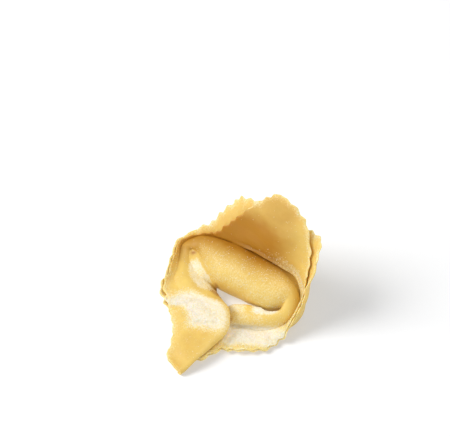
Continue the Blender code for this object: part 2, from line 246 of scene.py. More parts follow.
def smooth_rows(along):
    """The table read at any places along the sweep, by cubics that pass through its rows."""
    steps = np.diff(PLACES)[:, None]
    slopes = np.diff(ROWS, axis=0) / steps
    share = steps[:-1] / (steps[:-1] + steps[1:])
    tangents = np.vstack((slopes[:1], slopes[:-1] * (1 - share) + slopes[1:] * share, slopes[-1:]))
    at = np.clip(np.searchsorted(PLACES, along, side="right") - 1, 0, len(PLACES) - 2)
    step = steps[at]
    t = (along[:, None] - PLACES[at][:, None]) / step
    blend_a = 2 * t**3 - 3 * t**2 + 1
    blend_b = t**3 - 2 * t**2 + t
    blend_c = 3 * t**2 - 2 * t**3
    blend_d = t**3 - t**2
    rows = blend_a * ROWS[at] + blend_b * step * tangents[at]
    rows += blend_c * ROWS[at + 1] + blend_d * step * tangents[at + 1]
    return rows


def sections(along):
    """Sections at places along the sweep.  The rims run straight from station to station."""
    cut = Section(*smooth_rows(along).T)
    table = Section(*ROWS.T)
    inner = np.interp(along, PLACES, table.inner)
    outer = np.interp(along, PLACES, table.outer)
    gap = np.interp(along, PLACES, table.gap)
    return cut._replace(inner=inner, outer=outer, gap=gap)


def placed(cut, out, up):
    """Points at a distance outwards from the foot and at a height."""
    facing = np.radians(cut.facing)
    return np.stack((cut.x + out * np.cos(facing), cut.y + out * np.sin(facing), up), axis=-1)


def on_tube(cut, degrees):
    """Points round the tube: 180 is the fold, 90 its crest, 270 its underside."""
    out, up = round_tube(cut, degrees)
    height = np.where(up < 0, cut.fold - cut.under, cut.rise)
    return placed(cut, cut.reach * out, cut.fold + height * up)


def on_flange(cut, length, depth):
    """Points at a length from the seam, along an arc whose slope turns evenly, and at a depth
    below the inner face."""
    seam_out, seam_up = round_tube(cut, cut.seam)
    start = np.radians(cut.lean0)
    bend = (np.radians(cut.lean1) - start) / cut.span
    bend = np.where(np.abs(bend) < 1e-6, 1e-6, bend)
    slope = start + bend * length
    out = cut.reach * seam_out + (np.sin(slope) - np.sin(start)) / bend
    up = cut.fold + cut.rise * seam_up + (np.cos(start) - np.cos(slope)) / bend
    return placed(cut, out + depth * np.sin(slope), up - depth * np.cos(slope))


def crotch_length(cut):
    """How far from the seam the two layers stick together.  A short flange keeps half for teeth."""
    shared = np.minimum(cut.inner, cut.outer)
    return STUCK_SHARE * (shared - np.minimum(2 * PINKED_BAND, 0.5 * shared))


def thickness(cut, length, which):
    """A layer's thickness: the fluted wheel that cuts the edge presses it thinner."""
    inside = step_up(getattr(cut, which) - length, 0.0, RIM_TAPER)
    return DOUGH * (RIM_THICKNESS + (1 - RIM_THICKNESS) * inside)


def face_depth(cut, length, face):
    """Depth below the inner layer's front of a face: 0 inner layer's front, 1 its back, 2 outer
    layer's front, 3 its back.  The outer layer stands off towards its rim, unless the two are
    pressed together there."""
    inner, outer = thickness(cut, length, "inner"), thickness(cut, length, "outer")
    if face < 2:
        return face * inner
    start = crotch_length(cut)
    full = np.maximum(cut.inner, cut.outer)
    pressed = 1 - step_up(cut.gap, *PRESSED_GAP)
    opening = cut.gap * np.clip((length - start) / (full - start), 0, None) ** PARTING_POWER
    apart = (1 - pressed) * (2 * DOUGH - inner - outer) + (1 - PRESSED_SHUT * pressed) * opening
    return inner + apart + (face - 2) * outer


def rim_depth(cut, which):
    """Depth of the rim's line: the inner layer's front, or the outer layer's back."""
    return face_depth(cut, getattr(cut, which), 0 if which == "inner" else 3)


def rim_runs():
    """Places along the sweep, and how much rim has run by there: the mean of the two rims, or a
    share of the tube's crest where the rims hardly advance."""
    along = np.linspace(0.0, PLACES[-1], RUN_SAMPLES)
    cut = sections(along)
    steps = []
    for which in ("inner", "outer"):
        line = on_flange(cut, getattr(cut, which), rim_depth(cut, which))
        steps.append(np.linalg.norm(np.diff(line, axis=0), axis=1))
    crest = on_tube(cut, 90 + 0 * along)
    turn = np.linalg.norm(np.diff(crest, axis=0), axis=1)
    step = np.maximum((steps[0] + steps[1]) / 2, LEAST_RIM_SHARE * turn)
    return along, np.concatenate(((0.0,), np.cumsum(step)))


ALONG, RIM_RUN = rim_runs()
# How far the outer layer's teeth lie from the inner's, as a share of a tooth
OUTER_TEETH_SHIFT = 0.12
# How much of their depth the teeth keep where fingers pressed the edge
PRESSED_TEETH = {
    "left tip": 0.4,
    "leaf middle": 0.8,
    "left turn": 1.0,
    "belly 2": 1.1,
    "belly 4": 0.8,
    "belly 6": 0.8,
    "right back": 1.25,
    "right turn": 1.0,
    "right tip": 0.8,
}
TEETH = round(RIM_RUN[-1] / TOOTH_PITCH)


def column_places():
    """Places of the mesh's columns: evenly along the rims, a few to each tooth."""
    runs = np.linspace(0.0, RIM_RUN[-1], TEETH * COLUMNS_PER_TOOTH + 1)
    return np.interp(runs, RIM_RUN, ALONG)


# The step in mm for slopes taken by difference, and the most that place changes for each mm
SMALL_STEP = 0.05
MOST_CHANGE = 0.6


def rim_frame(which):
    """How far place and length change for each mm square to a layer's rim, along its surface, at
    each of the sweep's sampled places, eased round the corners."""
    along = ALONG
    cut = sections(along)
    rim = getattr(cut, which)
    depth = rim_depth(cut, which)
    line = on_flange(cut, rim, depth)
    ahead = on_flange(sections(np.clip(along + SMALL_STEP, 0, PLACES[-1])), rim, depth)
    across = (ahead - line) / SMALL_STEP
    out = (on_flange(cut, rim + SMALL_STEP, depth) - line) / SMALL_STEP
    tangent = np.gradient(line, along, axis=0)
    tangent /= np.linalg.norm(tangent, axis=1)[:, None]
    square = out - tangent * np.sum(out * tangent, axis=1)[:, None]
    square /= np.linalg.norm(square, axis=1)[:, None]
    aa = np.sum(across * across, axis=1) + 1e-9
    ab = np.sum(across * out, axis=1)
    bb = np.sum(out * out, axis=1)
    want_a = np.sum(square * across, axis=1)
    want_b = np.sum(square * out, axis=1)
    spread = aa * bb - ab**2
    change = np.clip((want_a * bb - want_b * ab) / spread, -MOST_CHANGE, MOST_CHANGE)
    gain = (want_b * aa - want_a * ab) / spread
    window = round(CORNER_EASING / (ALONG[1] - ALONG[0]))
    return eased(change, window), eased(gain, window)


def eased(values, window):
    """The values averaged over a few neighbours each way."""
    padded = np.pad(values, window, mode="edge")
    weights = np.hanning(2 * window + 1)
    return np.convolve(padded, weights / weights.sum(), mode="valid")


FRAMES = {which: rim_frame(which) for which in ("inner", "outer")}


def beside_rim(along, which, distance):
    """Place and length of points at a distance outside a layer's rim, or inside it if below 0."""
    change, gain = [np.interp(along, ALONG, values) for values in FRAMES[which]]
    to_tip = np.minimum(along, PLACES[-1] - along)
    change = change * np.clip(to_tip / TIP_LENGTH, 0, 1)
    return along + distance * change, getattr(sections(along), which) + distance * gain


def teeth(along, which):
    """The pinked edge's distance outside the rim: softened teeth, a little uneven in length and
    in depth, flattened where fingers pressed the edge, none longer than the flange can carry."""
    phase = np.interp(along, ALONG, RIM_RUN) / RIM_RUN[-1] * TEETH
    shift = 0.0 if which == "inner" else OUTER_TEETH_SHIFT
    uneven = phase + shift + 0.10 * np.sin(phase * 1.7 + shift) + 0.06 * np.sin(phase * 3.1)
    wave = np.arcsin(0.9 * np.cos(2 * np.pi * uneven)) / np.pi
    kept = np.interp(along, [place(name) for name in PRESSED_TEETH], list(PRESSED_TEETH.values()))
    depth = TOOTH_DEPTH * (TOOTH_EVENNESS + 0.14 * np.sin(phase * 2.3 + 4 * shift)) * kept
    return wave * np.minimum(depth, LONGEST_TOOTH_SHARE * getattr(sections(along), which))


# One row of the loft: its points, the place along the sweep of each, and the part of the sheet it
# belongs to
Strand = namedtuple("Strand", "points along part")
TUBE, INNER_FRONT, INNER_BACK, OUTER_FRONT, OUTER_BACK, UNDERSIDE = range(6)


def face_strands(along, face):
    """Strands of one face of a layer, from where it leaves the other layer, or from the seam for
    an outside face, to just inside the teeth, then out to the rounded edge of the pinking."""
    cut = sections(along)
    which = "inner" if face < 2 else "outer"
    rim = getattr(cut, which)
    start = crotch_length(cut) if face in (1, 2) else 0 * rim
    band_place, length = beside_rim(along, which, -np.minimum(PINKED_BAND, 0.5 * rim))
    edge_place, edge_length = beside_rim(along, which, teeth(along, which) - EDGE_ROUNDING)
    nose_place, nose_length = beside_rim(along, which, teeth(along, which))
    spots = []
    for part in np.linspace(0, 1, FACE_STEPS) ** FACE_CROWDING:
        spots.append((along + (band_place - along) * part, start + (length - start) * part, 0.0))
    for part in np.linspace(0, 1, BAND_STEPS + 1)[1:]:
        there = band_place + (edge_place - band_place) * part
        spots.append((there, length + (edge_length - length) * part, 0.0))
    inset = (1 - NOSE_THICKNESS) / 2 * DOUGH * (1 if face in (0, 2) else -1)
    spots.append((nose_place, nose_length, inset))
    strands = []
    for there, reached, sunk in spots:
        at = sections(there)
        points = on_flange(at, reached, face_depth(at, reached, face) + sunk)
        strands.append(Strand(points, there, INNER_FRONT + face))
    return strands


def loft_strands():
    """Strands that run the whole sweep, in order round the section."""
    along = column_places()
    cut = sections(along)
    strands = []
    for degrees in np.linspace(270, 180, LOWER_INNER_POINTS + 2)[:-1]:
        strands.append(Strand(on_tube(cut, degrees + 0 * along), along, UNDERSIDE))
    for part in np.linspace(0, 1, UPPER_POINTS + 1)[:-1]:
        strands.append(Strand(on_tube(cut, 180 + (cut.seam - 180) * part), along, TUBE))
    strands += face_strands(along, 0)
    strands += face_strands(along, 1)[::-1]
    strands += face_strands(along, 2)[1:]
    strands += face_strands(along, 3)[::-1]
    strands += outer_wall(along, strands[-1].points, strands[0].points)
    return strands


def outer_wall(along, top, bottom):
    """The outer layer from the flange down round the back of the tube to the underside."""
    cut = sections(along)
    lean = np.radians(cut.lean0)
    facing = np.radians(cut.facing)
    drop = WALL_DROP * (top[:, 2] - bottom[:, 2])
    down = np.stack((np.cos(facing) * np.cos(lean), np.sin(facing) * np.cos(lean), np.sin(lean)), -1)
    first = top - down * drop[:, None]
    outwards = np.stack((np.cos(facing), np.sin(facing), 0 * facing), axis=-1)
    second = bottom + outwards * (WALL_BULGE * cut.reach)[:, None]
    strands = []
    for t in np.linspace(0, 1, OUTER_WALL_POINTS + 2)[1:-1]:
        upper = (1 - t) ** 3 * top + 3 * (1 - t) ** 2 * t * first
        lower = 3 * (1 - t) * t**2 * second + t**3 * bottom
        strands.append(Strand(upper + lower, along, UNDERSIDE))
    return strands


def between(left, right):
    """Triangles that fill the space between two chains of numbered rows."""
    triangles = []
    i, j = 0, 0
    while i < len(left) - 1 or j < len(right) - 1:
        if i / (len(left) - 1) <= j / (len(right) - 1):
            triangles.append((left[i], left[i + 1], right[j]))
            i += 1
        else:
            triangles.append((left[i], right[j + 1], right[j]))
            j += 1
    return [corners for corners in triangles if len(set(corners)) == 3]


def tip_faces(count):
    """The cut across the sheet at a wing's tip: the tube, and each layer out to its rim."""
    steps = FACE_STEPS + BAND_STEPS
    seam = LOWER_INNER_POINTS + 1 + UPPER_POINTS
    crotch = seam + 2 * steps + 1
    back = crotch + 2 * steps + 1
    wall = list(range(count - 1, back - 1, -1))
    faces = between(list(range(seam + 1)), [0, *wall, seam])
    faces.append((back, seam, crotch))
    for front, behind in ((seam, crotch), (crotch, back)):
        outwards = [front + k for k in range(steps + 1)]
        inwards = [behind - k for k in range(steps + 1)]
        faces += between(outwards, inwards)
    return faces


# Every point of the dough's surface: its position in mm, its place along the sweep, how far it
# is from the seam in mm (below 0 over the tube, above 0 on the flange), its part of the sheet and
# the way its surface faces
Surface = namedtuple("Surface", "points along girth part normal")


def sheet_surface(strands):
    """The strands as grids, with the distance from the seam measured over the side that shows."""
    points = np.array([strand.points for strand in strands])
    along = np.array([strand.along for strand in strands])
    part = np.array([np.full(len(strand.along), strand.part) for strand in strands])
    steps = np.linalg.norm(np.diff(points, axis=0), axis=2)
    run = np.concatenate((np.zeros((1, points.shape[1])), np.cumsum(steps, axis=0)))
    girth = run - run[LOWER_INNER_POINTS + 1 + UPPER_POINTS]
    forward = np.gradient(points, axis=1)
    round_it = np.roll(points, -1, axis=0) - np.roll(points, 1, axis=0)
    normal = np.cross(forward, round_it)
    normal /= np.linalg.norm(normal, axis=2)[:, :, None] + 1e-9
    return Surface(points, along, girth, part, normal)


# The web between strip and belly: matching places along both, from the hole up to the dimple, and
# how far round the tube each side of the valley starts, in degrees
WEB_STEPS = (0.0, 0.35, 0.7, 1.0)
WEB_STRIP = (place("strip low", -2.0), place("strip low", 3.0), place("left turn"), place("left end"))
WEB_BELLY = (place("belly 3", -0.8), place("belly 2"), place("left back", 2.0), place("left end"))
WEB_STRIP_EDGE = (178.0, 138.0, 126.0, 135.0)
WEB_BELLY_EDGE = (178.0, 156.0, 146.0, 140.0)
# How deep it sags, as a share of its width, how far its borders sink into the dough, in mm, and the
# distance from the seam that it is given, too far for any crease or patch to reach it
WEB_SLACK = 0.25
WEB_SINK = 0.06
CLEAR_OF_SEAM = 20.0


def tube_at(along, degrees):
    """Points on the tube and the way its surface runs there towards the fold."""
    cut = sections(along)
    here = on_tube(cut, degrees)
    ahead = on_tube(cut, degrees + 2.0)
    way = ahead - here
    return here, way / np.linalg.norm(way, axis=1)[:, None]


def web_surface():
    """The skin of dough in the groove between the strip and the belly's left end: a shallow valley
    that runs up from the hole to the dimple.  Its rows run along the groove."""
    t = np.linspace(0.0, 1.0, WEB_COLUMNS)
    strip_along = np.interp(t, WEB_STEPS, WEB_STRIP)
    belly_along = np.interp(t, WEB_STEPS, WEB_BELLY)
    low, down = tube_at(strip_along, np.interp(t, WEB_STEPS, WEB_STRIP_EDGE))
    high, up = tube_at(belly_along, np.interp(t, WEB_STEPS, WEB_BELLY_EDGE))
    reach = np.linalg.norm(high - low, axis=1)[:, None]
    across = np.linspace(0.0, 1.0, WEB_ROWS)
    first = low + down * reach * WEB_SLACK
    second = high + up * reach * WEB_SLACK
    rows = []
    for v in across:
        lower = (1 - v) ** 3 * low + 3 * (1 - v) ** 2 * v * first
        upper = 3 * (1 - v) * v**2 * second + v**3 * high
        rows.append(lower + upper)
    points = np.array(rows)
    normal = np.cross(np.gradient(points, axis=0), np.gradient(points, axis=1))
    normal /= np.linalg.norm(normal, axis=2)[:, :, None] + 1e-9
    edge = np.abs(2 * across - 1) ** 6
    sunk = points - normal * (WEB_SINK * edge)[:, None, None]
    along = np.broadcast_to(strip_along, points.shape[:2])
    return Surface(sunk, along, -CLEAR_OF_SEAM + 0 * along, TUBE + 0 * along, normal)


def stretch(values, start, end, soft):
    """1 from start to end, falling off to 0 over a soft distance outside them."""
    return step_up(values, start - soft, start) * (1.0 - step_up(values, end, end + soft))


def bell(values, middle, half_width):
    return np.exp(-(((values - middle) / half_width) ** 2))


# Marks that run along the fold: height, distance from the seam, below 0 over the tube, and
# half-width, all in mm
Ridge = namedtuple("Ridge", "height girth half_width")
CREASE = Ridge(-0.3, 0.1, 0.45)
WELT = Ridge(0.45, 1.0, 0.42)
SECOND_CREASE = Ridge(-0.25, 1.8, 0.35)
UNDER_TUBE = Ridge(-0.6, 0.2, 0.55)
LIP = Ridge(0.8, -6.5, 2.2)
LUMP = Ridge(0.7, -6.0, 2.0)
LUMP_HALF_LENGTH = 2.2


def seam_relief(surface):
    """The sealed seam above the belly: a crease, a thin raised welt and a second crease.  In front,
    a crease under the tube, a fuller lip over the hole, and a lump where it goes under the leaf."""

    def mark(ridge):
        return ridge.height * bell(surface.girth, ridge.girth, ridge.half_width)

    front = surface.part == INNER_FRONT
    right_half = stretch(surface.along, place("belly 4"), place("right back"), 6.0)
    whole = stretch(surface.along, place("belly 2"), place("right end"), 4.0)
    in_front = stretch(surface.along, place("front right"), place("front left", -1), 3.0)
    before_leaf = bell(surface.along, place("front left", -1.5), LUMP_HALF_LENGTH)
    tube_in_front = mark(UNDER_TUBE) * in_front + mark(LIP) * in_front + mark(LUMP) * before_leaf
    welt_and_crease = mark(WELT) * right_half + mark(SECOND_CREASE) * right_half
    relief = mark(CREASE) * whole + tube_in_front + welt_and_crease * front
    return relief * (surface.part <= INNER_FRONT)


# Low swells in the dough: how long and how high in mm, and how many waves cross at each length
SWELLS = ((14.0, 0.10), (8.0, 0.06), (5.0, 0.035))
WAVES_TO_A_SWELL = 5
SWELL_SEED = 7


def soft_unevenness(points):
    """The dough's swells, as a seeded sum of waves."""
    random = np.random.default_rng(SWELL_SEED)
    height = np.zeros(points.shape[:2])
    for length, amount in SWELLS:
        for _ in range(WAVES_TO_A_SWELL):
            direction = random.normal(size=3)
            direction /= np.linalg.norm(direction)
            turn = random.uniform(0, 2 * np.pi)
            height += amount * np.sin(points @ direction * 2 * np.pi / length + turn)
    return height


# The height in mm under which the relief dies out
FLAT_NEAR_TABLE = 1.5


def shaped(surface):
    """The surface moved by its relief, which dies out towards the table so that nothing sinks."""
    way = as_one_sheet(surface) if OUTER_BACK in surface.part else surface.normal
    relief = seam_relief(surface) + soft_unevenness(surface.points)
    near_floor = step_up(surface.points[:, :, 2], 0.0, FLAT_NEAR_TABLE)
    points = surface.points + way * (relief * near_floor)[:, :, None]
    return surface._replace(points=np.maximum(points, (-np.inf, -np.inf, 0.0)))


def as_one_sheet(surface):
    """The way each point moves: both faces of both layers towards the hole, so that a layer keeps
    its thickness, with a change-over to the underside's own way down the outer wall."""
    part = surface.part[:, 0]
    way = surface.normal.copy()
    for face in (INNER_FRONT, INNER_BACK, OUTER_FRONT, OUTER_BACK):
        rows = np.flatnonzero(part == face)
        calm = np.clip(rows, rows[0] + ROWS_AT_AN_EDGE, rows[-1] - ROWS_AT_AN_EDGE)
        side = -1 if face in (INNER_BACK, OUTER_BACK) else 1
        way[rows] = side * surface.normal[calm]
    wall = len(part) - OUTER_WALL_POINTS
    for number in range(OUTER_WALL_POINTS):
        share = (number + 1) / (OUTER_WALL_POINTS + 1)
        way[wall + number] = (1 - share) * way[wall - 1] + share * way[wall + number]
    return way


# A patch of the side that shows, of flour, of rubbed-off dough or of painted shade: from one place
# along the sweep to another, from one distance from the seam to another, how soft its border is in
# both, and how strong it is
Patch = namedtuple("Patch", "start end near far soft_along soft_across amount")


def patch_strength(surface, patches):
    total = np.zeros(surface.along.shape)
    for patch in patches:
        along = stretch(surface.along, patch.start, patch.end, patch.soft_along)
        across = stretch(surface.girth, patch.near, patch.far, patch.soft_across)
        total = np.maximum(total, patch.amount * along * across)
    return total * (surface.part <= INNER_FRONT)


# Loose flour: how many clumps, their size in mm, how rough they are, and how thickly they lie
# outside dusted places
GRAINS = 6000
GRAIN_LUMP = (0.1, 0.24)
GRAIN_ROUGHNESS = 0.18
GRAINS_ELSEWHERE = 0.02
GRAIN_SEED = 11

# Both layers are painted paler towards their rims, as painted light: over this many mm, and by how much
RIM_LIGHT_WIDTH = 3.0
RIM_LIGHT_AMOUNT = 0.4

# Light passes through the flange, fully from so many mm off the tube, and by this share
THIN_FROM = 2.0
LIGHT_THROUGH = 0.6

# Where flour lies: the leaf, the front tube's left end and its outer side, the strip, the belly, the
# seam above the belly, the right turn and the front flange
FLOURED = (
    Patch(place("leaf middle", 7), place("beside hole", 1), 0.5, 6.5, 6.0, 4.5, 0.85),
    Patch(place("front", 1), place("front left", -1), -8.0, -5.0, 2.0, 1.5, 0.55),
    Patch(place("right front", 3), place("front", 2), -4.0, -1.5, 3.0, 1.5, 0.25),
    Patch(place("strip low", -1), place("left turn", -2), -9.0, -5.2, 3.0, 1.0, 0.6),
    Patch(place("belly 1"), place("belly 7"), -12.0, -5.0, 5.0, 5.0, 0.2),
    Patch(place("belly 5"), place("right back", -2), 1.5, 3.0, 6.0, 2.0, 0.5),
    Patch(place("right low"), place("front right", 1), -8.0, -5.0, 2.0, 1.0, 0.9),
    Patch(place("right front", 1), place("front left", -2), 0.5, 5.0, 5.0, 3.5, 0.85),
)
# Where flour is rubbed off and the dough turns deeper: low on the collar, as painted shade; the
# strip's seam, a little; the collar's middle, as painted shade; the leaf's tip
BARE_AND_SHADED = (
    Patch(place("belly 1"), place("belly 5", -3), 0.5, 8.0, 14.0, 12.0, 0.95),
    Patch(place("strip high"), place("belly 1"), 0.3, 3.0, 3.0, 1.0, 0.15),
    Patch(place("belly 5", -2), place("belly 5", 2), 12.0, 20.0, 5.0, 6.0, 0.35),
    Patch(place("left tip"), place("leaf middle"), -4.0, 6.0, 4.0, 3.0, 0.1),
)
# Painted shade in crevices, brown: beside the hole, and where the front tube goes under the leaf
PAINTED_CREVICE_SHADE = (
    Patch(place("beside hole", 1), place("strip low", -2), -9.5, -7.0, 1.5, 1.2, 0.55),
    Patch(place("front left", -1), place("front left"), -2.6, -0.6, 1.0, 0.8, 0.8),
)


def thinness(sheet):
    """How much light passes: a share of it through the flange's layers, none through the tube."""
    flange = (sheet.part >= INNER_FRONT) & (sheet.part <= OUTER_BACK)
    front = sheet.girth / THIN_FROM
    back = (sheet.girth[-OUTER_WALL_POINTS] - sheet.girth) / THIN_FROM
    return LIGHT_THROUGH * flange * np.clip(np.minimum(front, back), 0, 1)


def rim_painted_light(sheet):
    """Both layers are painted paler towards their rims, on the side that faces the hole: painted light.
    """
    last = [np.flatnonzero(sheet.part[:, 0] == face)[-1] for face in (INNER_FRONT, OUTER_FRONT)]
    # The paleness at the rims, painted light
    dry = np.zeros(sheet.girth.shape)
    for face, rim in zip((INNER_FRONT, OUTER_FRONT), last):
        to_rim = np.abs(sheet.girth - sheet.girth[rim])
        dry += (sheet.part == face) * RIM_LIGHT_AMOUNT * (1 - step_up(to_rim, 0.0, RIM_LIGHT_WIDTH))
    return dry


def web_flour(web):
    """Flour lies on the strip's side of the valley."""
    rows, columns = web.along.shape
    across = np.linspace(0.0, 1.0, rows)[:, None]
    up = np.linspace(0.0, 1.0, columns)[None, :]
    return 0.6 * (1 - step_up(across, 0.6, 0.75)) * stretch(up, 0.2, 0.62, 0.12)


def web_crevice_shade(web):
    """Painted shade, brown, in the valley's lower end and in the dimple at its upper end."""
    rows, columns = web.along.shape
    across = np.linspace(0.0, 1.0, rows)[:, None]
    up = np.linspace(0.0, 1.0, columns)[None, :]
    return bell(across, 0.5, 0.35) * (0.7 * (1 - step_up(up, 0.02, 0.14)) + 0.8 * bell(up, 0.86, 0.06))


def placed_object(name, data):
    """An object of some mesh, light or camera data, in the scene."""
    thing = bpy.data.objects.new(name, data)
    bpy.context.scene.collection.objects.link(thing)
    return thing


def strip_faces(number, closed):
    """Quads between the rows of numbered points, from the last row back to the first if closed."""
    above = np.roll(number, -1, axis=0)
    here = number
    if not closed:
        here, above = number[:-1], number[1:]
    quads = np.stack((here[:, :-1], here[:, 1:], above[:, 1:], above[:, :-1]), -1).reshape(-1, 4)
    return [tuple(quad) for quad in quads.tolist()]


def to_frame(points, sheet):
    """Points moved so that the sheet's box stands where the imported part's box does."""
    low, high = sheet.points.min(axis=(0, 1)), sheet.points.max(axis=(0, 1))
    corner_low, corner_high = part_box("tortellino")
    centre = (corner_low + corner_high) / 2 / MM
    middle = ((low[0] + high[0]) / 2, (low[1] + high[1]) / 2, low[2])
    return points - middle + (centre.x, centre.y, corner_low.z / MM)


def dough_object(sheet, web):
    """The folded sheet, closed round the section and at both tips, and the web, as one object that
    knows for each of its points how much flour lies there, with painted light at the rims, how
    rubbed off and deep it is, with painted shade on the collar, how much painted shade lies in
    its crevices, and how thin it is."""
    rows, columns = sheet.along.shape
    number = np.arange(rows * columns).reshape(rows, columns)
    faces = strip_faces(number, closed=True)
    for c, order in ((0, 1), (columns - 1, -1)):
        faces += [tuple(int(number[r, c]) for r in corners)[::order] for corners in tip_faces(rows)]
    web_number = rows * columns + np.arange(web.along.size).reshape(web.along.shape)
    faces += strip_faces(web_number, closed=False)
    points = to_frame(np.vstack((sheet.points.reshape(-1, 3), web.points.reshape(-1, 3))), sheet)
    data = bpy.data.meshes.new("tortellino_dough")
    data.from_pydata((points * MM).tolist(), [], faces)
    data.update()
    # The flour layer also carries the rims' paleness, which is painted light
    floured = (np.maximum(patch_strength(sheet, FLOURED), rim_painted_light(sheet)), web_flour(web))
    # Rubbed places: less flour, and a deeper colour that on the collar is painted shade
    bare_and_shade = (patch_strength(sheet, BARE_AND_SHADED), 0 * web.along)
    # Painted shade, brown, in the crevices
    crevice_shade = (patch_strength(sheet, PAINTED_CREVICE_SHADE), web_crevice_shade(web))
    thin = (thinness(sheet), 0 * web.along)
    for name, parts in (("flour", floured), ("bare_and_shade", bare_and_shade), ("crevice_shade", crevice_shade), ("thin", thin)):
        layer = data.attributes.new(name, "FLOAT", "POINT")
        layer.data.foreach_set("value", np.concatenate([part.ravel() for part in parts]))
    return placed_object("tortellino_dough", data)


def flour_grains(sheet):
    """Clumps of flour that lie loose on the dusted places, as one mesh of small rough lumps."""
    random = np.random.default_rng(GRAIN_SEED)
    amount = np.maximum(patch_strength(sheet, FLOURED), GRAINS_ELSEWHERE)
    amount = amount * (1 - patch_strength(sheet, BARE_AND_SHADED)) * (sheet.part <= INNER_FRONT)
    across = np.linalg.norm(np.gradient(sheet.points, axis=0), axis=2)
    lengthways = np.linalg.norm(np.gradient(sheet.points, axis=1), axis=2)
    chance = (amount * across * lengthways).ravel()
    chosen = random.choice(chance.size, GRAINS, p=chance / chance.sum())
    rows, columns = np.unravel_index(chosen, sheet.along.shape)
    here = sheet.points[rows, columns]
    next_column = sheet.points[rows, np.minimum(columns + 1, sheet.along.shape[1] - 1)]
    next_row = sheet.points[(rows + 1) % len(sheet.points), columns]
    shares = random.uniform(0, 1, (2, GRAINS, 1))
    here = here + (next_column - here) * shares[0] + (next_row - here) * shares[1]
    size = random.uniform(*GRAIN_LUMP, (GRAINS, 1, 1)) / 2
    lump, lump_faces = rough_ball()
    uneven = 1 + random.normal(0, GRAIN_ROUGHNESS, (GRAINS, len(lump), 1))
    points = to_frame((here[:, None] + lump * size * uneven).reshape(-1, 3), sheet)
    faces = (lump_faces + np.arange(GRAINS)[:, None, None] * len(lump)).reshape(-1, 3)
    data = bpy.data.meshes.new("tortellino_flour")
    data.from_pydata((points * MM).tolist(), [], faces.tolist())
    data.update()
    return placed_object("tortellino_flour", data)


def rough_ball():
    """The corners and triangles of an icosahedron of radius 1."""
    mesh = bmesh.new()
    bmesh.ops.create_icosphere(mesh, subdivisions=1, radius=1.0)
    points = np.array([corner.co for corner in mesh.verts])
    faces = np.array([[corner.index for corner in face.verts] for face in mesh.faces])
    mesh.free()
    return points, faces


def from_hex(code):
    """An sRGB colour such as #E0B060 as linear red, green, blue and alpha."""
    shares = [int(code[i : i + 2], 16) / 255 for i in (1, 3, 5)]
    linear = [v / 12.92 if v <= 0.04045 else ((v + 0.055) / 1.055) ** 2.4 for v in shares]
    return (*linear, 1.0)


def add_node(tree, kind, settings=None, links=None):
    """A node of a kind, with its settings by attribute or socket name and its links by socket."""
    node = tree.nodes.new(kind)
    for name, value in (settings or {}).items():
        if isinstance(name, str) and hasattr(node, name):
            setattr(node, name, value)
        else:
            node.inputs[name].default_value = value
    for name, source in (links or {}).items():
        tree.links.new(source, node.inputs[name])
    return node


def new_material(name):
    material = bpy.data.materials.new(name)
    material.use_nodes = True
    tree = material.node_tree
    return material, tree, tree.nodes["Principled BSDF"]


# Colours of the dough: dry; deeper, in its clouds and as painted shade on the collar; brown, as
# painted shade in crevices; and of the flour that lies on it, where it is a thin film and where it
# is thick
PALE_DOUGH = "#ECCC6C"
DEEP_DOUGH_AND_SHADE = "#BA811C"
CREVICE_SHADE_COLOUR = "#A4602A"
CREAM_FLOUR = "#F0DDA2"
DRY_FLOUR = "#EFE9DA"
# How far apart the dough's clouds of dryness lie, and its specks of flour, in mm.  Real specks are
# under 0.2 mm, too fine to show, so they are drawn twice as coarse.
CLOUD_SIZE = 3.0
GRAIN_SIZE = 0.42
CLOUD_DETAIL = 3.0
GRAIN_DETAIL = 2.0
# How much each of these counts in how flour covers the dough: specks, clouds, rubbing off
SPECK_SHARE = 1.2
CLOUD_SHARE = 0.6
RUBBED_SHARE = -0.5
# The sum of those from where cover starts to where it is full; then how much cover makes a whole
# film, and between which amounts the film turns into a heap
COVER_RANGE = (0.98, 1.9)
WHOLE_FILM = 0.6
HEAP_RANGE = (0.4, 0.95)
# How much the clouds deepen the dough's colour
CLOUD_DEPTH = 0.35
# Bare dough is satin, flour is chalky
DOUGH_ROUGHNESS = 0.52
FLOUR_ROUGHNESS = 0.95
# The specks stand up by so many mm, softened
SPECK_HEIGHT = 0.06
SPECK_STRENGTH = 0.5
# How far red, green and blue light spread in the dough, as shares of so many mm
LIGHT_SPREAD = (1.0, 0.8, 0.5)
LIGHT_SPREAD_SIZE = 1.0


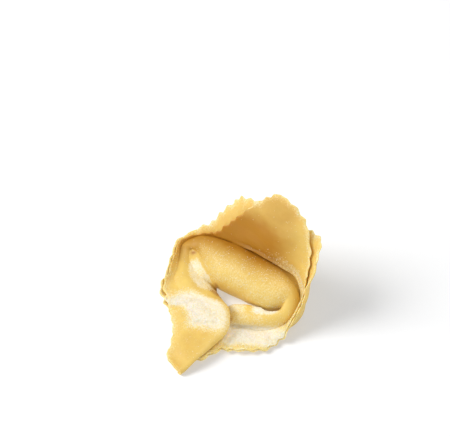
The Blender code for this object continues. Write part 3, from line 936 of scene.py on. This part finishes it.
def egg_dough():
    """Fresh egg dough, rolled and dusted with flour: golden and satin where unfloured, deeper on
    the collar as painted shade, brown in crevices as painted shade, cream, matt and grainy where
    flour lies on it, paler at the rims as painted light, and a little translucent in the flange."""
    material, tree, shader = new_material("fresh egg dough, rolled and floured")
    position = add_node(tree, "ShaderNodeTexCoord").outputs["Object"]
    clouds = add_node(
        tree,
        "ShaderNodeTexNoise",
        {"Scale": 1 / (CLOUD_SIZE * MM), "Detail": CLOUD_DETAIL},
        {"Vector": position},
    ).outputs["Fac"]
    specks = add_node(
        tree,
        "ShaderNodeTexNoise",
        {"Scale": 1 / (GRAIN_SIZE * MM), "Detail": GRAIN_DETAIL},
        {"Vector": position},
    ).outputs["Fac"]
    flour = add_node(tree, "ShaderNodeAttribute", {"attribute_name": "flour"}).outputs["Fac"]
    # Rubbed places: less flour; their deeper colour on the collar is painted shade
    bare_and_shade = add_node(tree, "ShaderNodeAttribute", {"attribute_name": "bare_and_shade"}).outputs["Fac"]

    # Cover: flour laid in patches, with the rims' painted light, broken up by clouds and specks, less
    # where it was rubbed off
    clouded = add_node(
        tree, "ShaderNodeMath", {"operation": "MULTIPLY_ADD", 1: CLOUD_SHARE}, {0: clouds, 2: flour}
    ).outputs[0]
    speckled = add_node(
        tree, "ShaderNodeMath", {"operation": "MULTIPLY_ADD", 1: SPECK_SHARE}, {0: specks, 2: clouded}
    ).outputs[0]
    rubbed = add_node(
        tree, "ShaderNodeMath", {"operation": "MULTIPLY_ADD", 1: RUBBED_SHARE}, {0: bare_and_shade, 2: speckled}
    ).outputs[0]
    cover = add_node(
        tree,
        "ShaderNodeMapRange",
        {"From Min": COVER_RANGE[0], "From Max": COVER_RANGE[1]},
        {"Value": rubbed},
    ).outputs["Result"]

    # Colour: pale dough, deeper in clouds and in rubbed places, which on the collar is painted shade,
    # brown where shade is painted into crevices, then film, then heap
    depth = add_node(
        tree,
        "ShaderNodeMath",
        {"operation": "MULTIPLY_ADD", 1: CLOUD_DEPTH, "use_clamp": True},
        {0: clouds, 2: bare_and_shade},
    ).outputs[0]
    dough = add_node(
        tree,
        "ShaderNodeMix",
        {"data_type": "RGBA", 6: from_hex(PALE_DOUGH), 7: from_hex(DEEP_DOUGH_AND_SHADE)},
        {0: depth},
    ).outputs[2]
    # Painted shade in the crevices: brown
    crevice_shade = add_node(tree, "ShaderNodeAttribute", {"attribute_name": "crevice_shade"}).outputs["Fac"]
    crevice_shaded = add_node(
        tree, "ShaderNodeMix", {"data_type": "RGBA", 7: from_hex(CREVICE_SHADE_COLOUR)}, {0: crevice_shade, 6: dough}
    ).outputs[2]
    film = add_node(
        tree, "ShaderNodeMapRange", {"From Max": WHOLE_FILM}, {"Value": cover}
    ).outputs["Result"]
    filmed = add_node(
        tree, "ShaderNodeMix", {"data_type": "RGBA", 7: from_hex(CREAM_FLOUR)}, {0: film, 6: crevice_shaded}
    ).outputs[2]
    heap = add_node(
        tree,
        "ShaderNodeMapRange",
        {"From Min": HEAP_RANGE[0], "From Max": HEAP_RANGE[1]},
        {"Value": cover},
    ).outputs["Result"]
    colour = add_node(
        tree, "ShaderNodeMix", {"data_type": "RGBA", 7: from_hex(DRY_FLOUR)}, {0: heap, 6: filmed}
    ).outputs[2]
    tree.links.new(colour, shader.inputs["Base Color"])

    rough = add_node(
        tree,
        "ShaderNodeMapRange",
        {"To Min": DOUGH_ROUGHNESS, "To Max": FLOUR_ROUGHNESS},
        {"Value": cover},
    ).outputs["Result"]
    tree.links.new(rough, shader.inputs["Roughness"])
    bump = add_node(
        tree,
        "ShaderNodeBump",
        {"Strength": SPECK_STRENGTH, "Distance": SPECK_HEIGHT * MM},
        {"Height": specks},
    ).outputs["Normal"]
    tree.links.new(bump, shader.inputs["Normal"])

    # Light passes where the dough is thin
    thin = add_node(tree, "ShaderNodeAttribute", {"attribute_name": "thin"}).outputs["Fac"]
    tree.links.new(thin, shader.inputs["Subsurface Weight"])
    shader.inputs["Subsurface Radius"].default_value = LIGHT_SPREAD
    shader.inputs["Subsurface Scale"].default_value = LIGHT_SPREAD_SIZE * MM
    return material


def wheat_flour():
    """Dry wheat flour in clumps: a chalky, matt cream."""
    material, tree, shader = new_material("wheat flour, dry")
    position = add_node(tree, "ShaderNodeTexCoord").outputs["Object"]
    specks = add_node(
        tree,
        "ShaderNodeTexNoise",
        {"Scale": 1 / (GRAIN_SIZE * MM), "Detail": GRAIN_DETAIL},
        {"Vector": position},
    ).outputs["Fac"]
    colour = add_node(
        tree,
        "ShaderNodeMix",
        {"data_type": "RGBA", 6: from_hex(CREAM_FLOUR), 7: from_hex(DRY_FLOUR)},
        {0: specks},
    ).outputs[2]
    tree.links.new(colour, shader.inputs["Base Color"])
    shader.inputs["Roughness"].default_value = FLOUR_ROUGHNESS
    return material


# The table: half its width in metres, its sheet of opal acrylic, and the lamp under it
TABLE_HALF_WIDTH = 2.0
OPAL_WHITE = "#C2C2C2"
OPAL_ROUGHNESS = 0.7
LAMP_WHITE = "#FFFFFF"
TABLE_GLOW = 0.41


def floor():
    """A light table of opal acrylic, lit from below: an even, matt white that softens shadows."""
    data = bpy.data.meshes.new("floor")
    w = TABLE_HALF_WIDTH
    data.from_pydata([(-w, -w, 0), (w, -w, 0), (w, w, 0), (-w, w, 0)], [], [(0, 1, 2, 3)])
    thing = placed_object("floor", data)
    material, _, shader = new_material("opal acrylic light table")
    shader.inputs["Base Color"].default_value = from_hex(OPAL_WHITE)
    shader.inputs["Roughness"].default_value = OPAL_ROUGHNESS
    shader.inputs["Emission Color"].default_value = from_hex(LAMP_WHITE)
    shader.inputs["Emission Strength"].default_value = TABLE_GLOW
    data.materials.append(material)
    thing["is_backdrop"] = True
    return thing


# The camera: how far above level it looks down, how far away it is, what it aims at in mm, and
# how many mm of the object its frame takes in
CAMERA_ELEVATION = 48.0
CAMERA_DISTANCE = 550.0
CAMERA_AIM = (-4.0, 20.07, 17.1)
FRAME_WIDTH = 125.0
# The sensor's width in mm, and the nearest thing it sees in metres
SENSOR_WIDTH = 36.0
CLIP_START = 0.01


def camera():
    elevation = math.radians(CAMERA_ELEVATION)
    forward = Vector((0.0, math.cos(elevation), -math.sin(elevation)))
    data = bpy.data.cameras.new("camera")
    data.sensor_width = SENSOR_WIDTH
    data.lens = SENSOR_WIDTH * CAMERA_DISTANCE / FRAME_WIDTH
    data.clip_start = CLIP_START
    thing = placed_object("camera", data)
    thing.location = (Vector(CAMERA_AIM) - forward * CAMERA_DISTANCE) * MM
    thing.rotation_euler = (math.radians(90.0 - CAMERA_ELEVATION), 0.0, 0.0)
    bpy.context.scene.camera = thing


# The softboxes: which way they stand from the object, in degrees round from the left towards the
# back and up from the table, and their strength in watts; then their width and distance in mm,
# and the strength and tint of the light that fills the room
DOUGH_SOFTBOX = (-4.0, 38.0, 4.8)
FRONT_SOFTBOX = (-60.0, 15.0, 0.9)
FILL_SOFTBOX = (178.0, 60.0, 4.4)
TABLE_SOFTBOX = (1.0, 45.0, 10.5)
SOFTBOX_SIZE = 500.0
SOFTBOX_DISTANCE = 900.0
ROOM_LIGHT = 0.41
ROOM_TINT = "#FAFCFF"


def softbox(name, aim, lit):
    """A square softbox that lights only the given objects."""
    towards_back, height, watts = aim
    turn, lift = math.radians(towards_back), math.radians(height)
    toward = Vector((-math.cos(turn) * math.cos(lift), math.sin(turn) * math.cos(lift), math.sin(lift)))
    data = bpy.data.lights.new(name, "AREA")
    data.shape = "SQUARE"
    data.size = SOFTBOX_SIZE * MM
    data.energy = watts
    thing = placed_object(name, data)
    thing.location = toward * SOFTBOX_DISTANCE * MM
    thing.rotation_euler = toward.to_track_quat("Z", "Y").to_euler()
    receivers = bpy.data.collections.new(name + " lights")
    for thing_lit in lit:
        receivers.objects.link(thing_lit)
    thing.light_linking.receiver_collection = receivers


def studio_light(dough, table):
    world = bpy.data.worlds.new("studio")
    world.use_nodes = True
    back = world.node_tree.nodes["Background"]
    back.inputs["Color"].default_value = from_hex(ROOM_TINT)
    back.inputs["Strength"].default_value = ROOM_LIGHT
    bpy.context.scene.world = world
    softbox("dough softbox", DOUGH_SOFTBOX, dough)
    softbox("front softbox", FRONT_SOFTBOX, dough)
    softbox("fill softbox", FILL_SOFTBOX, dough)
    softbox("table softbox", TABLE_SOFTBOX, table)
    bpy.context.scene.view_settings.view_transform = "Standard"


def main():
    sheet = shaped(sheet_surface(loft_strands()))
    dough = dough_object(sheet, shaped(web_surface()))
    dough.data.set_sharp_from_angle(angle=math.radians(SHARP_EDGE_DEGREES))
    flour = flour_grains(sheet)
    for piece, material in ((dough, egg_dough()), (flour, wheat_flour())):
        piece.data.shade_smooth()
        piece.data.materials.append(material)
        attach(piece, "root")
        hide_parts("tortellino")
    studio_light((dough, flour), (floor(),))
    camera()
    boxes = {"cad": cad_box, "visual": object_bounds()}
    boxes = {name: [list(corner) for corner in box] for name, box in boxes.items()}


main()
